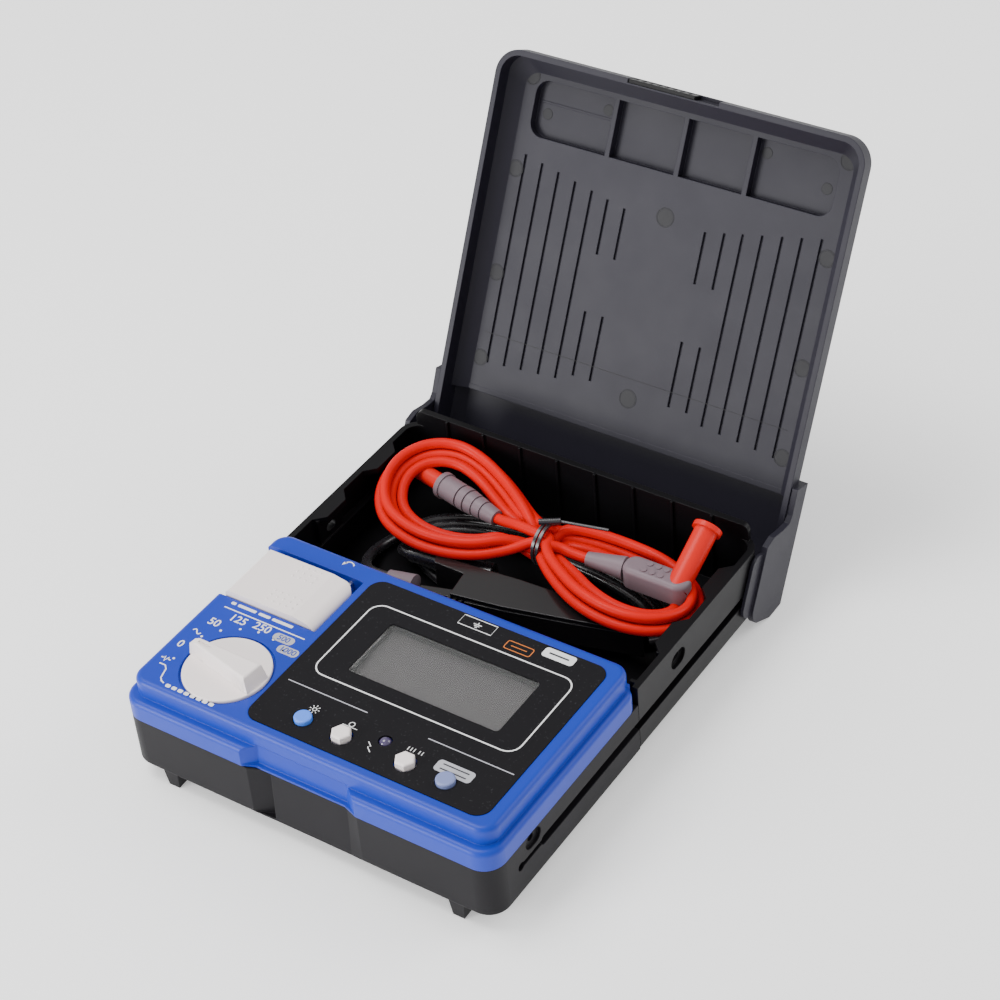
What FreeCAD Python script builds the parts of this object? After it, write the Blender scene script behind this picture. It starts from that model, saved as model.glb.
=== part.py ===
import FreeCAD, Part
import math
import os

# Portable insulation resistance tester: a meter with an accessory tray behind it, a lid on two
# rear arms, and two test leads in the tray. Millimetres, +Z up, +X along the front edge, +Y to
# the rear. Shapes are drawn about the middle of the closed footprint, on the table, and each part
# is written about the middle of the open tester's footprint.

V = FreeCAD.Vector
X_AXIS = V(1, 0, 0)
Y_AXIS = V(0, 1, 0)
Z_AXIS = V(0, 0, 1)

# ---- driving dimensions ----
HALF_W = 77.0            # case, half width
HALF_D = 88.5            # case, half depth
WALL = 2.5
CORNER_R = 8.0
FLOOR_Z = 7.0            # underside of the case, above the feet
SPLIT_Z = 28.5           # lower case to bezel
LEDGE_Z = 36.5           # the lid's rim rests here
TOP_Z = 43.5             # plateau of the bezel
TOP_HALF_W = 74.4
TOP_FRONT_Y = -84.6
TOP_REAR_Y = 3.2
TONGUE_HALF_W = 72.2     # rear part of the lower case, inside the tray
TONGUE_Y = 6.5
SEAM_Y = 1.2             # lower case to tray
TRAY_RIM_Z = 36.0
TRAY_FLOOR_Z = 11.6
BACK_WALL_Z = 42.7
GROOVE_Z = 19.0
GROOVE_HALF = 2.05
PIVOT_Y = 77.0           # lid hinge
PIVOT_Z = 19.0
PIN_R = 2.0
LID_OPEN = 116.8         # degrees from closed, as drawn
OPEN_CENTRE_Y = 44.3     # middle of the open footprint
STAND_Z = 0.4            # the open lid's rear edge above the table
LID_RIM_Z = 36.55
LID_TOP_Z = 49.2
HOOD_TOP_Z = 53.0
HOOD_Y = 43.5            # step from the lid's main shell to its rear hood
LID_WALL = 2.2
ARM_OUT_X = 79.5
ARM_IN_X = 77.25
BOARD_Z = 30.5
BOARD_T = 1.6
KNOB = (-46.4, -65.0)
KNOB_R = 15.8
KNOB_REST = 173.3        # degrees, pointer at the off mark
KEY_AXIS = (-37.1, 40.6)  # x and z of the lever key's pin
KEY_Y = (-34.4, -9.3)
KEY_BARREL_R = 4.6
SOCKET_X = (16.6, 50.1)
SOCKET_Z = 20.0
SOCKET_BORE_R = 2.0
CELL_R = 7.1
CELL_L = 50.5
CABLE_R = 2.0

BUTTONS = {
    "light_button": (-8.8, -71.6, 3.2, 0),
    "zero_adjust_button": (7.2, -71.8, 3.7, 6),
    "comparator_button": (32.9, -71.6, 3.7, 6),
    "release_button": (49.2, -72.0, 3.4, 0),
}
LAMP = (21.3, -66.5, 2.3)


# ---- helpers ----
def box(x0, x1, y0, y1, z0, z1):
    return Part.makeBox(x1 - x0, y1 - y0, z1 - z0, V(x0, y0, z0))


def cyl(radius, height, base, axis=Z_AXIS):
    return Part.makeCylinder(radius, height, V(*base), axis)


def rod(start, end, radius, end_radius=None):
    """A round bar or cone between two points."""
    along = V(*end) - V(*start)
    if end_radius is None:
        return Part.makeCylinder(radius, along.Length, V(*start), along)
    return Part.makeCone(radius, end_radius, along.Length, V(*start), along)


def outline(points, z=0.0):
    corners = [V(x, y, z) for x, y in points]
    return Part.Face(Part.makePolygon(corners + corners[:1]))


def plate_yz(points, x0, x1):
    """A flat plate from a (y, z) outline, between two x."""
    corners = [V(x0, y, z) for y, z in points]
    return Part.Face(Part.makePolygon(corners + corners[:1])).extrude(V(x1 - x0, 0, 0))


def plate_xz(points, y0, y1):
    corners = [V(x, y0, z) for x, z in points]
    return Part.Face(Part.makePolygon(corners + corners[:1])).extrude(V(0, y1 - y0, 0))


def along_z(edge, x_ok, y_ok):
    start, end = edge.Vertexes[0].Point, edge.Vertexes[-1].Point
    upright = abs(start.x - end.x) < 1e-6 and abs(start.y - end.y) < 1e-6
    return upright and x_ok(start.x) and y_ok(start.y)


def round_upright(shape, radius, x_ok=lambda x: True, y_ok=lambda y: True):
    """Rounds the upright edges that pass both tests."""
    return shape.makeFillet(radius, [e for e in shape.Edges if along_z(e, x_ok, y_ok)])


def round_level(shape, radius, z):
    """Rounds every edge that lies in the level plane z."""
    edges = []
    for edge in shape.Edges:
        if all(abs(v.Point.z - z) < 1e-6 for v in edge.Vertexes):
            edges.append(edge)
    return shape.makeFillet(radius, edges)


def soft_box(x0, x1, y0, y1, z0, z1, radius):
    return round_upright(box(x0, x1, y0, y1, z0, z1), radius)


def rect_wire(x0, x1, y0, y1, z, radius):
    """A level rounded rectangle as a wire."""
    return soft_box(x0, x1, y0, y1, z, z + 1.0, radius).slice(Z_AXIS, z + 0.5)[0].translated(V(0, 0, -0.5))


def loft(low, high):
    return Part.makeLoft([rect_wire(*low), rect_wire(*high)], True, True)


def fuse_all(shapes):
    shapes = list(shapes)
    joined = shapes[0].multiFuse(shapes[1:]) if len(shapes) > 1 else shapes[0]
    return joined.removeSplitter()


def cut_all(shape, tools):
    return shape.cut(Part.makeCompound(list(tools)))


def mirror_x(shape):
    return shape.mirror(V(0, 0, 0), X_AXIS)


def both_sides(shape):
    return [shape, mirror_x(shape)]


def group(solids):
    return Part.makeCompound(list(solids))


# ---- meter case ----
CASE_SCREWS = [(-67.5, -78.0), (67.5, -78.0), (-67.5, -6.0), (67.5, -6.0)]
TRAY_SCREWS = [-62.0, 64.0]
TRAY_SCREW_Z = 15.2
BATTERY_X = [-0.5 + 14.5 * i for i in range(4)]
BATTERY_Y = (-76.5, -26.0)
BATTERY_Z = 17.2
COVER = (-9.0, 51.5, -80.0, -22.0)
BEZEL_RECESS = (-24.7, -19.8, 17.2, 22.8)   # outer and inner x of its slanted sides
CASE_RECESS = (-22.6, -14.4, 18.2, 23.3)


def recess_outline(span, depth, z):
    front = -HALF_D
    return outline([(span[0], front - 1), (span[0], front), (span[1], front + depth), (span[2], front + depth),
                    (span[3], front), (span[3], front - 1)], z).OuterWire


def recess_tool(span, low, high):
    """The shallow recess in the middle of the front face. Each level is its height and depth."""
    wires = [recess_outline(span, depth, z) for z, depth in (low, high)]
    return Part.makeLoft(wires, True, True)


def groove(y0, y1, half_height, depth):
    """A side groove with rounded ends, on the right-hand side."""
    x0 = HALF_W - depth
    middle = box(x0, HALF_W + 1, y0 + half_height, y1 - half_height,
                 GROOVE_Z - half_height, GROOVE_Z + half_height)
    ends = [cyl(half_height, depth + 1, (x0, y, GROOVE_Z), X_AXIS) for y in (y0 + half_height, y1 - half_height)]
    return fuse_all([middle] + ends)


def oval_x(y0, y1, z0, z1, x0, x1):
    """A round-ended slot cut along X."""
    radius = (z1 - z0) / 2
    zc = (z0 + z1) / 2
    parts = [box(x0, x1, y0 + radius, y1 - radius, z0, z1)]
    parts += [cyl(radius, x1 - x0, (x0, y, zc), X_AXIS) for y in (y0 + radius, y1 - radius)]
    return fuse_all(parts)


def lower_case():
    outer = box(-HALF_W, HALF_W, -HALF_D, SEAM_Y, FLOOR_Z, SPLIT_Z)
    outer = round_upright(outer, CORNER_R, y_ok=lambda y: y < 0)
    outer = round_level(outer, 1.0, FLOOR_Z)
    tongue = box(-TONGUE_HALF_W, TONGUE_HALF_W, SEAM_Y - 3, TONGUE_Y, FLOOR_Z, SPLIT_Z)
    hollow = soft_box(-HALF_W + WALL, HALF_W - WALL, -HALF_D + WALL, SEAM_Y - WALL, FLOOR_Z + WALL, 60, 5.5)
    rear_hollow = box(-TONGUE_HALF_W + WALL, TONGUE_HALF_W - WALL, -12, TONGUE_Y - WALL, FLOOR_Z + WALL, 60)
    shell = cut_all(fuse_all([outer, tongue]), [hollow, rear_hollow])
    front_back = box(-28, 28, -HALF_D + 1, -HALF_D + 6.2, FLOOR_Z, SPLIT_Z)
    groove_back = both_sides(box(HALF_W - 5.2, HALF_W - 1, -80, SEAM_Y, GROOVE_Z - 5, GROOVE_Z + 5))
    posts = [cyl(3.6, 13.0, (x, y, FLOOR_Z)) for x, y in CASE_SCREWS]
    rails = [box(COVER[0] - 2, COVER[0], COVER[2] - 1, COVER[3] + 2, FLOOR_Z + 1, FLOOR_Z + 8),
             box(COVER[1], COVER[1] + 2, COVER[2] - 1, COVER[3] + 2, FLOOR_Z + 1, FLOOR_Z + 8)]
    board_posts = [cyl(3.0, BOARD_Z - FLOOR_Z - 1, (x, y, FLOOR_Z + 1)) for x, y in BOARD_SCREWS]
    tray_bosses = [cyl(3.5, 10.0, (x, TONGUE_Y - 11, TRAY_SCREW_Z), Y_AXIS) for x in TRAY_SCREWS]
    feet = [front_foot(x) for x in (-60.0, 60.5)]
    shell = fuse_all([shell, front_back] + groove_back + posts + rails + board_posts + tray_bosses + feet)
    cuts = [recess_tool(CASE_RECESS, (FLOOR_Z - 1, 0.45), (SPLIT_Z + 1, 1.95))]
    notch = [(CASE_RECESS[0], -HALF_D - 1), (CASE_RECESS[0], -HALF_D), (CASE_RECESS[1], -HALF_D + 3.2),
             (CASE_RECESS[1] + 0.8, -HALF_D + 3.2), (CASE_RECESS[1] + 0.8, -HALF_D - 1)]
    cuts += [outline(notch, FLOOR_Z + 0.8).extrude(V(0, 0, SPLIT_Z - FLOOR_Z))]
    cuts += both_sides(groove(-60.9, SEAM_Y + 6, GROOVE_HALF, 3.0))
    cuts += both_sides(groove(-72.8, -56.0, 1.0, 1.5))
    cuts += both_sides(cyl(1.7, 3, (HALF_W - 2.0, -72.8, GROOVE_Z), X_AXIS))
    cuts += both_sides(oval_x(-69.5, -60.5, 21.9, 28.4, HALF_W - 1.2, HALF_W + 1))
    cuts += both_sides(cyl(1.6, 3, (HALF_W - 2.2, -65.0, 25.1), X_AXIS))
    cuts += [box(COVER[0] + 0.0, COVER[1], COVER[2], COVER[3], FLOOR_Z - 1, FLOOR_Z + 1.6)]
    cuts += [box(COVER[0] + 2.5, COVER[1] - 2.5, COVER[2] + 2.5, COVER[3] - 2.5, FLOOR_Z, FLOOR_Z + 5)]
    cuts += [cyl(1.7, 30, (x, y, FLOOR_Z - 1)) for x, y in CASE_SCREWS]
    cuts += [cyl(3.1, 3.2, (x, y, FLOOR_Z - 0.2)) for x, y in CASE_SCREWS]
    cuts += [cyl(1.25, 9, (x, y, BOARD_Z - 7.5)) for x, y in BOARD_SCREWS]
    cuts += [cyl(1.6, 14, (x, TONGUE_Y - 12, TRAY_SCREW_Z), Y_AXIS) for x in TRAY_SCREWS]
    cuts += [cyl(6.0, 6, (x, TONGUE_Y - 4, SOCKET_Z), Y_AXIS) for x in SOCKET_X]
    return cut_all(shell, cuts)


def front_foot(x):
    """A tapered foot flush with the front face."""
    front = -HALF_D + 0.4
    top = outline([(x - 3.3, front), (x + 3.3, front), (x + 3.0, front + 9), (x - 3.0, front + 9)], 8.5)
    low = outline([(x - 2.3, front + 0.6), (x + 2.3, front + 0.6), (x + 2.1, front + 7.5), (x - 2.1, front + 7.5)], 0)
    return Part.makeLoft([low.OuterWire, top.OuterWire], True, True)


def rear_foot(x):
    top = outline([(x - 6, 66), (x + 6, 66), (x + 6, 76), (x - 6, 76)], 7.5)
    low = outline([(x - 5, 67), (x + 5, 67), (x + 5, 75), (x - 5, 75)], 0)
    return Part.makeLoft([low.OuterWire, top.OuterWire], True, True)


# ---- bezel, panel and display ----
PANEL = (-28.4, 69.2, -80.2, -1.4)
WINDOW = (-9.9, 51.6, -45.0, -18.4)
PANEL_Z = (42.8, 43.7)
KEY_TUB = (-80.0, -31.2, -35.0, -5.5)   # open on the left
KEY_TUB_Z = 38.0


def top_bezel():
    skirt = box(-HALF_W, HALF_W, -HALF_D, SEAM_Y, SPLIT_Z, LEDGE_Z)
    skirt = round_upright(skirt, CORNER_R, y_ok=lambda y: y < 0)
    skirt = round_upright(skirt, 5.0, y_ok=lambda y: y > 0)
    skirt = round_level(skirt, 2.0, LEDGE_Z)
    upper = soft_box(-TOP_HALF_W, TOP_HALF_W, TOP_FRONT_Y, TOP_REAR_Y, SPLIT_Z, TOP_Z, 6.0)
    upper = round_level(upper, 2.0, TOP_Z)
    body = fuse_all([skirt, upper])
    wall = 2.2
    low = soft_box(-HALF_W + wall, HALF_W - wall, -HALF_D + wall, SEAM_Y - wall, SPLIT_Z - 1, LEDGE_Z - 2.6, 5.8)
    high = soft_box(-TOP_HALF_W + wall, TOP_HALF_W - wall, TOP_FRONT_Y + wall, TOP_REAR_Y - wall,
                    SPLIT_Z - 1, TOP_Z - 2.2, 4.0)
    body = cut_all(body, [low, high])
    recess_back = box(BEZEL_RECESS[0] - 1, BEZEL_RECESS[3] + 1, -HALF_D + 1, -HALF_D + 7.2, SPLIT_Z, LEDGE_Z - 1)
    tub = box(-TOP_HALF_W + 0.5, KEY_TUB[1] + 1.5, KEY_TUB[2] - 1.5, KEY_TUB[3] + 1.5, 34.2, TOP_Z - 1)
    sill = box(-TONGUE_HALF_W, TONGUE_HALF_W, TOP_REAR_Y - 1.5, TONGUE_Y, SPLIT_Z, SPLIT_Z + 2.5)
    columns = [cyl(3.6, TOP_Z - 1.5 - 20.3, (x, y, 20.3)) for x, y in CASE_SCREWS]
    body = fuse_all([body, recess_back, tub, sill] + columns)
    cuts = [recess_tool(BEZEL_RECESS, (SPLIT_Z + 0.7, 3.7), (LEDGE_Z + 1, 4.7))]
    cuts += [recess_tool(BEZEL_RECESS, (SPLIT_Z - 1, 1.9), (SPLIT_Z + 0.8, 1.9))]
    cuts += [box(*KEY_TUB[:2], *KEY_TUB[2:], KEY_TUB_Z, TOP_Z + 1)]
    cuts += [cyl(KEY_BARREL_R + 0.35, KEY_Y[1] - KEY_Y[0] + 0.8, (KEY_AXIS[0], KEY_Y[0] - 0.4, KEY_AXIS[1]), Y_AXIS)]
    cuts += [cyl(1.0, 40, (KEY_AXIS[0], KEY_Y[0] - 6, KEY_AXIS[1]), Y_AXIS)]
    cuts += [cyl(2.6, 6, (-58.9, -21.9, KEY_TUB_Z - 4))]
    cuts += [cyl(16.8, 2, (*KNOB, TOP_Z - 1.0)), cyl(3.4, 8, (*KNOB, TOP_Z - 5))]
    cuts += [soft_box(*PANEL, PANEL_Z[0], TOP_Z + 1, 5.5)]
    cuts += [box(WINDOW[0] - 1, WINDOW[1] + 1, WINDOW[2] - 1, WINDOW[3] + 1, 34, TOP_Z + 1)]
    cuts += [cyl(size + 0.35, 12, (x, y, 34)) for x, y, size, sides in BUTTONS.values()]
    cuts += [cyl(LAMP[2] + 0.3, 12, (LAMP[0], LAMP[1], 34))]
    cuts += [cyl(1.3, 14, (x, y, 20)) for x, y in CASE_SCREWS]
    return cut_all(body, cuts)


def front_panel():
    plate = soft_box(PANEL[0] + 0.15, PANEL[1] - 0.15, PANEL[2] + 0.15, PANEL[3] - 0.15, *PANEL_Z, 5.3)
    cuts = [soft_box(*WINDOW, 42, 45, 1.5)]
    cuts += [cyl(size + 0.35, 4, (x, y, 41.5)) for x, y, size, sides in BUTTONS.values()]
    cuts += [cyl(LAMP[2] + 0.2, 4, (LAMP[0], LAMP[1], 41.5))]
    return cut_all(plate, cuts)


def lcd_window():
    return soft_box(WINDOW[0] + 0.1, WINDOW[1] - 0.1, WINDOW[2] + 0.1, WINDOW[3] - 0.1, 42.2, 43.3, 1.4)


def lcd_module():
    return box(WINDOW[0] - 0.4, WINDOW[1] + 0.4, WINDOW[2] - 0.4, WINDOW[3] + 0.4, 37.0, 39.4)


def lcd_frame():
    """A tray for the display and its backlight, with a ledge inside its foot."""
    outer = box(WINDOW[0] - 3, WINDOW[1] + 3, WINDOW[2] - 3, WINDOW[3] + 3, BOARD_Z + BOARD_T, 41.1)
    inner = box(WINDOW[0] - 0.6, WINDOW[1] + 0.6, WINDOW[2] - 0.6, WINDOW[3] + 0.6, 34.7, 44)
    middle = box(WINDOW[0] + 2, WINDOW[1] - 2, WINDOW[2] + 2, WINDOW[3] - 2, 20, 35)
    return cut_all(outer, [inner, middle])


def backlight():
    return box(WINDOW[0], WINDOW[1], WINDOW[2], WINDOW[3], 34.7, 36.9)


def keypad_mat():
    mat = box(-15.4, 56.6, -78.1, -62.6, 35.0, 36.4)
    domes = [cyl(size - 0.6, 0.25, (x, y, 36.3)) for x, y, size, sides in BUTTONS.values()]
    return cut_all(fuse_all([mat] + domes), [cyl(LAMP[2] + 0.4, 6, (LAMP[0], LAMP[1], 33))])


def prism(x, y, radius, sides, z0, z1):
    if sides == 0:
        return cyl(radius, z1 - z0, (x, y, z0))
    turn = [2 * math.pi * i / sides for i in range(sides)]
    return outline([(x + radius * math.cos(a), y + radius * math.sin(a)) for a in turn], z0).extrude(V(0, 0, z1 - z0))


def push_button(name):
    """A cap that stands proud of the panel, on a stem with a wide foot."""
    x, y, size, sides = BUTTONS[name]
    top = 45.9 if sides else 45.3
    cap = round_level(prism(x, y, size, sides, 38.9, top), 0.7, top)
    foot = cyl(size + 1.1, 1.2, (x, y, 37.8))
    return fuse_all([cap, foot])


def warning_led():
    dome = Part.makeSphere(LAMP[2], V(LAMP[0], LAMP[1], 42.3))
    dome = dome.common(box(LAMP[0] - 4, LAMP[0] + 4, LAMP[1] - 4, LAMP[1] + 4, 42.3, 46))
    stem = cyl(LAMP[2], 42.3 - BOARD_Z - BOARD_T, (LAMP[0], LAMP[1], BOARD_Z + BOARD_T))
    return fuse_all([dome, stem])


# ---- knob and key ----
def knob_shaft():
    shaft = cyl(3.0, 44.4 - 33.0, (*KNOB, 33.0))
    shaft = shaft.fuse(cyl(2.0, 48.6 - 40.0, (*KNOB, 40.0)))
    return shaft.cut(box(KNOB[0] + 1.4, KNOB[0] + 4, KNOB[1] - 4, KNOB[1] + 4, 44.4, 50))


def bar_outline(inset, z):
    """The wedge-shaped grip bar, narrow at its pointer end."""
    nose, tail = 16.6 - inset, -15.0 + 2 * inset
    slim, wide = 1.7 - 0.4 * inset, 5.2 - inset
    return outline([(tail, -wide), (nose, -slim), (nose, slim), (tail, wide)], z).OuterWire


def selector_knob():
    """A disc with a raised wedge across it. The wedge's narrow end marks the range."""
    disc = round_level(cyl(KNOB_R, 1.4, (0, 0, 42.6)), 0.4, 44.0)
    bar = Part.makeLoft([bar_outline(0, 43.4), bar_outline(0.9, 50.2)], True, True)
    bar = round_level(bar, 0.8, 50.2)
    nose = plate_xz([(18, 51), (18, 47.2), (16.7, 48.0), (12.6, 50.25), (12.6, 51)], -10, 10)
    mark = box(6.8, 12.4, -0.45, 0.45, 49.7, 51)
    bar = cut_all(bar, [nose, mark])
    ribs = []
    for along_bar in [9.7 + 1.1 * i for i in range(5)] + [-12.4 + 1.1 * i for i in range(6)]:
        half = 1.5 + (16.6 - along_bar) * 3.5 / 31.6
        ribs += [rod((along_bar, side * half, 43.8), (along_bar, side * (half - 0.55), 48.2), 0.42) for side in (-1, 1)]
    knob = fuse_all([disc, bar] + ribs)
    knob = cut_all(knob, [cyl(3.05, 2.5, (0, 0, 42)), cyl(2.05, 6.7, (0, 0, 42))])
    knob.rotate(V(0, 0, 0), Z_AXIS, KNOB_REST)
    knob.translate(V(KNOB[0], KNOB[1], 0))
    return knob


def rotary_switch():
    body = soft_box(KNOB[0] - 12, KNOB[0] + 12, KNOB[1] - 12, KNOB[1] + 12, BOARD_Z + BOARD_T, 38.5, 3)
    return body.cut(cyl(3.05, 12, (*KNOB, 32.9)))


def measure_key():
    """A wide lever on a pin at its right end. Its free end is pressed, or flips up and stays."""
    x, z = KEY_AXIS
    profile = [(-71.0, 41.3), (-71.0, 44.6), (-69.6, 45.9), (x - 4.3, z + 5.5), (x + 0.86, z + 4.52),
               (x, z), (x - 4.8, z + 0.7)]
    body = plate_xz(profile, *KEY_Y)
    barrel = cyl(KEY_BARREL_R, KEY_Y[1] - KEY_Y[0], (x, KEY_Y[0], z), Y_AXIS)
    body = fuse_all([body, barrel])
    under = box(-68.4, -45.9, KEY_Y[0] + 2.2, KEY_Y[1] - 2.2, 41.0, 43.8)
    corner = box(x + 1.1, x + 6.0, KEY_Y[1] - 3.5, KEY_Y[1] + 1.0, z - 6, z + 8)
    corner = corner.cut(cyl(3.5, 20, (x + 1.1, KEY_Y[1] - 3.5, z - 7)))
    body = cut_all(body, [under, corner, cyl(1.05, 40, (x, KEY_Y[0] - 5, z), Y_AXIS)])
    rib = box(-59.9, -55.9, KEY_Y[0] + 2, KEY_Y[1] - 2, 41.3, 44.5)
    return fuse_all([body, rib])


def key_pivot_pin():
    front = KEY_Y[0] - 2.0
    return cyl(1.0, KEY_TUB[3] + 1.2 - front, (KEY_AXIS[0], front, KEY_AXIS[1]), Y_AXIS)


def key_spring():
    """The return spring under the free end of the key, as its closed outer form."""
    return cyl(2.4, 43.7 - KEY_TUB_Z, (-63.9, -21.9, KEY_TUB_Z)).cut(cyl(1.6, 8, (-63.9, -21.9, 37)))


def key_switch():
    body = box(-62.9, -53.9, -25.9, -17.9, BOARD_Z + BOARD_T, 33.9)
    return fuse_all([body, cyl(1.4, 39.2 - 33.8, (-58.4, -21.9, 33.8))])


# ---- electronics ----
BOARD_SCREWS = [(-32.0, -77.0), (66.0, -60.0), (-66.0, -46.0)]


def main_board():
    board = soft_box(-70, 70, -80.6, -0.5, BOARD_Z, BOARD_Z + BOARD_T, 2)
    corners = [cyl(6.2, 5, (x, y, BOARD_Z - 1)) for x, y in CASE_SCREWS]
    holes = [cyl(1.5, 5, (x, y, BOARD_Z - 1)) for x, y in BOARD_SCREWS]
    return cut_all(board, corners + holes)


def screw(x, y, z, length, radius, head_r, axis=Z_AXIS):
    """A pan screw whose head is at the start of its axis."""
    start = V(x, y, z)
    head = Part.makeCylinder(head_r, 1.6, start, axis)
    shank = Part.makeCylinder(radius, length, start + axis * 1.6, axis)
    slot = Part.makeCylinder(radius * 0.55, 1.0, start, axis)
    return head.fuse(shank).cut(slot)


def case_screws():
    return group([screw(x, y, 8.2, 19.0, 1.25, 2.9) for x, y in CASE_SCREWS])


def board_screws():
    return group([screw(x, y, BOARD_Z + BOARD_T + 1.6, 6.6, 1.2, 2.6, V(0, 0, -1)) for x, y in BOARD_SCREWS])


def hv_transformer():
    core = box(-60, -40, -36, -14, 12, 24)
    bobbin = box(-57, -43, -39, -11, 14, 22)
    leads = [cyl(0.5, BOARD_Z - 22, (x, y, 22)) for x in (-54, -46) for y in (-38, -12)]
    return fuse_all([core, bobbin] + leads)


def buzzer():
    return cyl(6.0, 6.0, (-30.0, -60.0, BOARD_Z - 6.0))


def fuse():
    body = cyl(2.3, 12, (-34, -20.0, 20.5), Y_AXIS)
    caps = [cyl(2.6, 4.2, (-34, y, 20.5), Y_AXIS) for y in (-23.8, -8.4)]
    return fuse_all([body] + caps)


def fuse_clips():
    clips = []
    for y in (-23.0, -7.4):
        clip = box(-37.2, -30.8, y, y + 2.6, 17.4, BOARD_Z)
        clips.append(cut_all(clip, [cyl(2.62, 6, (-34, y - 1, 20.5), Y_AXIS), box(-36.2, -31.8, y - 1, y + 4, 17, 20.5)]))
    return group(clips)


def batteries():
    cells = []
    for i, x in enumerate(BATTERY_X):
        start, way = (BATTERY_Y[0], 1) if i % 2 == 0 else (BATTERY_Y[1], -1)
        axis = V(0, way, 0)
        can = Part.makeCylinder(CELL_R, CELL_L - 1.5, V(x, start, BATTERY_Z), axis)
        stud = Part.makeCylinder(2.7, 1.5, V(x, start, BATTERY_Z) + axis * (CELL_L - 1.5), axis)
        cells.append(can.fuse(stud))
    return group(cells)


def battery_contacts():
    """Sprung plates at both ends of the cells, each one joining two neighbours."""
    plates = []
    for i in range(0, 4, 2):
        plates.append(box(BATTERY_X[i] - 5, BATTERY_X[i + 1] + 5, BATTERY_Y[0] - 1.0, BATTERY_Y[0], 12, 22))
    plates.append(box(BATTERY_X[1] - 5, BATTERY_X[2] + 5, BATTERY_Y[1], BATTERY_Y[1] + 1.0, 12, 22))
    for i in (0, 3):
        plates.append(box(BATTERY_X[i] - 5, BATTERY_X[i] + 5, BATTERY_Y[1], BATTERY_Y[1] + 1.0, 12, 22))
    return group(plates)


def battery_cover():
    x0, x1, y0, y1 = COVER
    plate = box(x0 + 0.3, x1 - 0.3, y0 + 0.3, y1 - 0.3, FLOOR_Z + 0.1, FLOOR_Z + 1.5)
    lip = box(x0 + 3.0, x1 - 3.0, y0 + 3.0, y1 - 3.0, FLOOR_Z + 1.4, FLOOR_Z + 2.8)
    inner = box(x0 + 5.0, x1 - 5.0, y0 + 5.0, y1 - 5.0, FLOOR_Z + 1.5, FLOOR_Z + 4)
    cover = fuse_all([plate, lip.cut(inner)])
    ridges = [box(10, 32, y, y + 1, FLOOR_Z, FLOOR_Z + 0.6) for y in (-70, -67.5, -65)]
    return cut_all(cover, ridges + [cyl(1.6, 6, (21.2, -49.0, FLOOR_Z - 1)), cyl(2.95, 3, (21.2, -49.0, FLOOR_Z - 2.0))])


def cover_screw():
    return screw(21.2, -49.0, FLOOR_Z - 0.7, 3.0, 1.55, 2.8)


# ---- sockets ----
def socket_block():
    block = box(2, 60, -9, TONGUE_Y - WALL, 11.5, 26.2)
    cuts = [cyl(6.0, 6.0, (x, -1.9, SOCKET_Z), Y_AXIS) for x in SOCKET_X]
    cuts += [cyl(2.95, 30, (x, -20, SOCKET_Z), Y_AXIS) for x in SOCKET_X]
    return cut_all(block, cuts)


def banana_socket(x):
    """A sprung tube for a 4 mm plug, with a solder tail."""
    tube = cyl(2.9, 22, (x, -17.0, SOCKET_Z), Y_AXIS)
    tube = tube.cut(cyl(SOCKET_BORE_R, 21, (x, -15.5, SOCKET_Z), Y_AXIS))
    tail = box(x - 0.4, x + 0.4, -18.6, -16.9, SOCKET_Z - 1.5, BOARD_Z)
    return tube.fuse(tail)


# ---- tray ----
RIB_X = [side * (8.25 + 16.5 * i) for side in (-1, 1) for i in range(4)]


def tab(y0, y1, y2, y3):
    """A tapered tab that points inward from the rim."""
    return outline([(HALF_W - 1, y0), (70.4, y1), (70.4, y2), (HALF_W - 1, y3)], 33.4).extrude(V(0, 0, TRAY_RIM_Z - 33.4))


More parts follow.
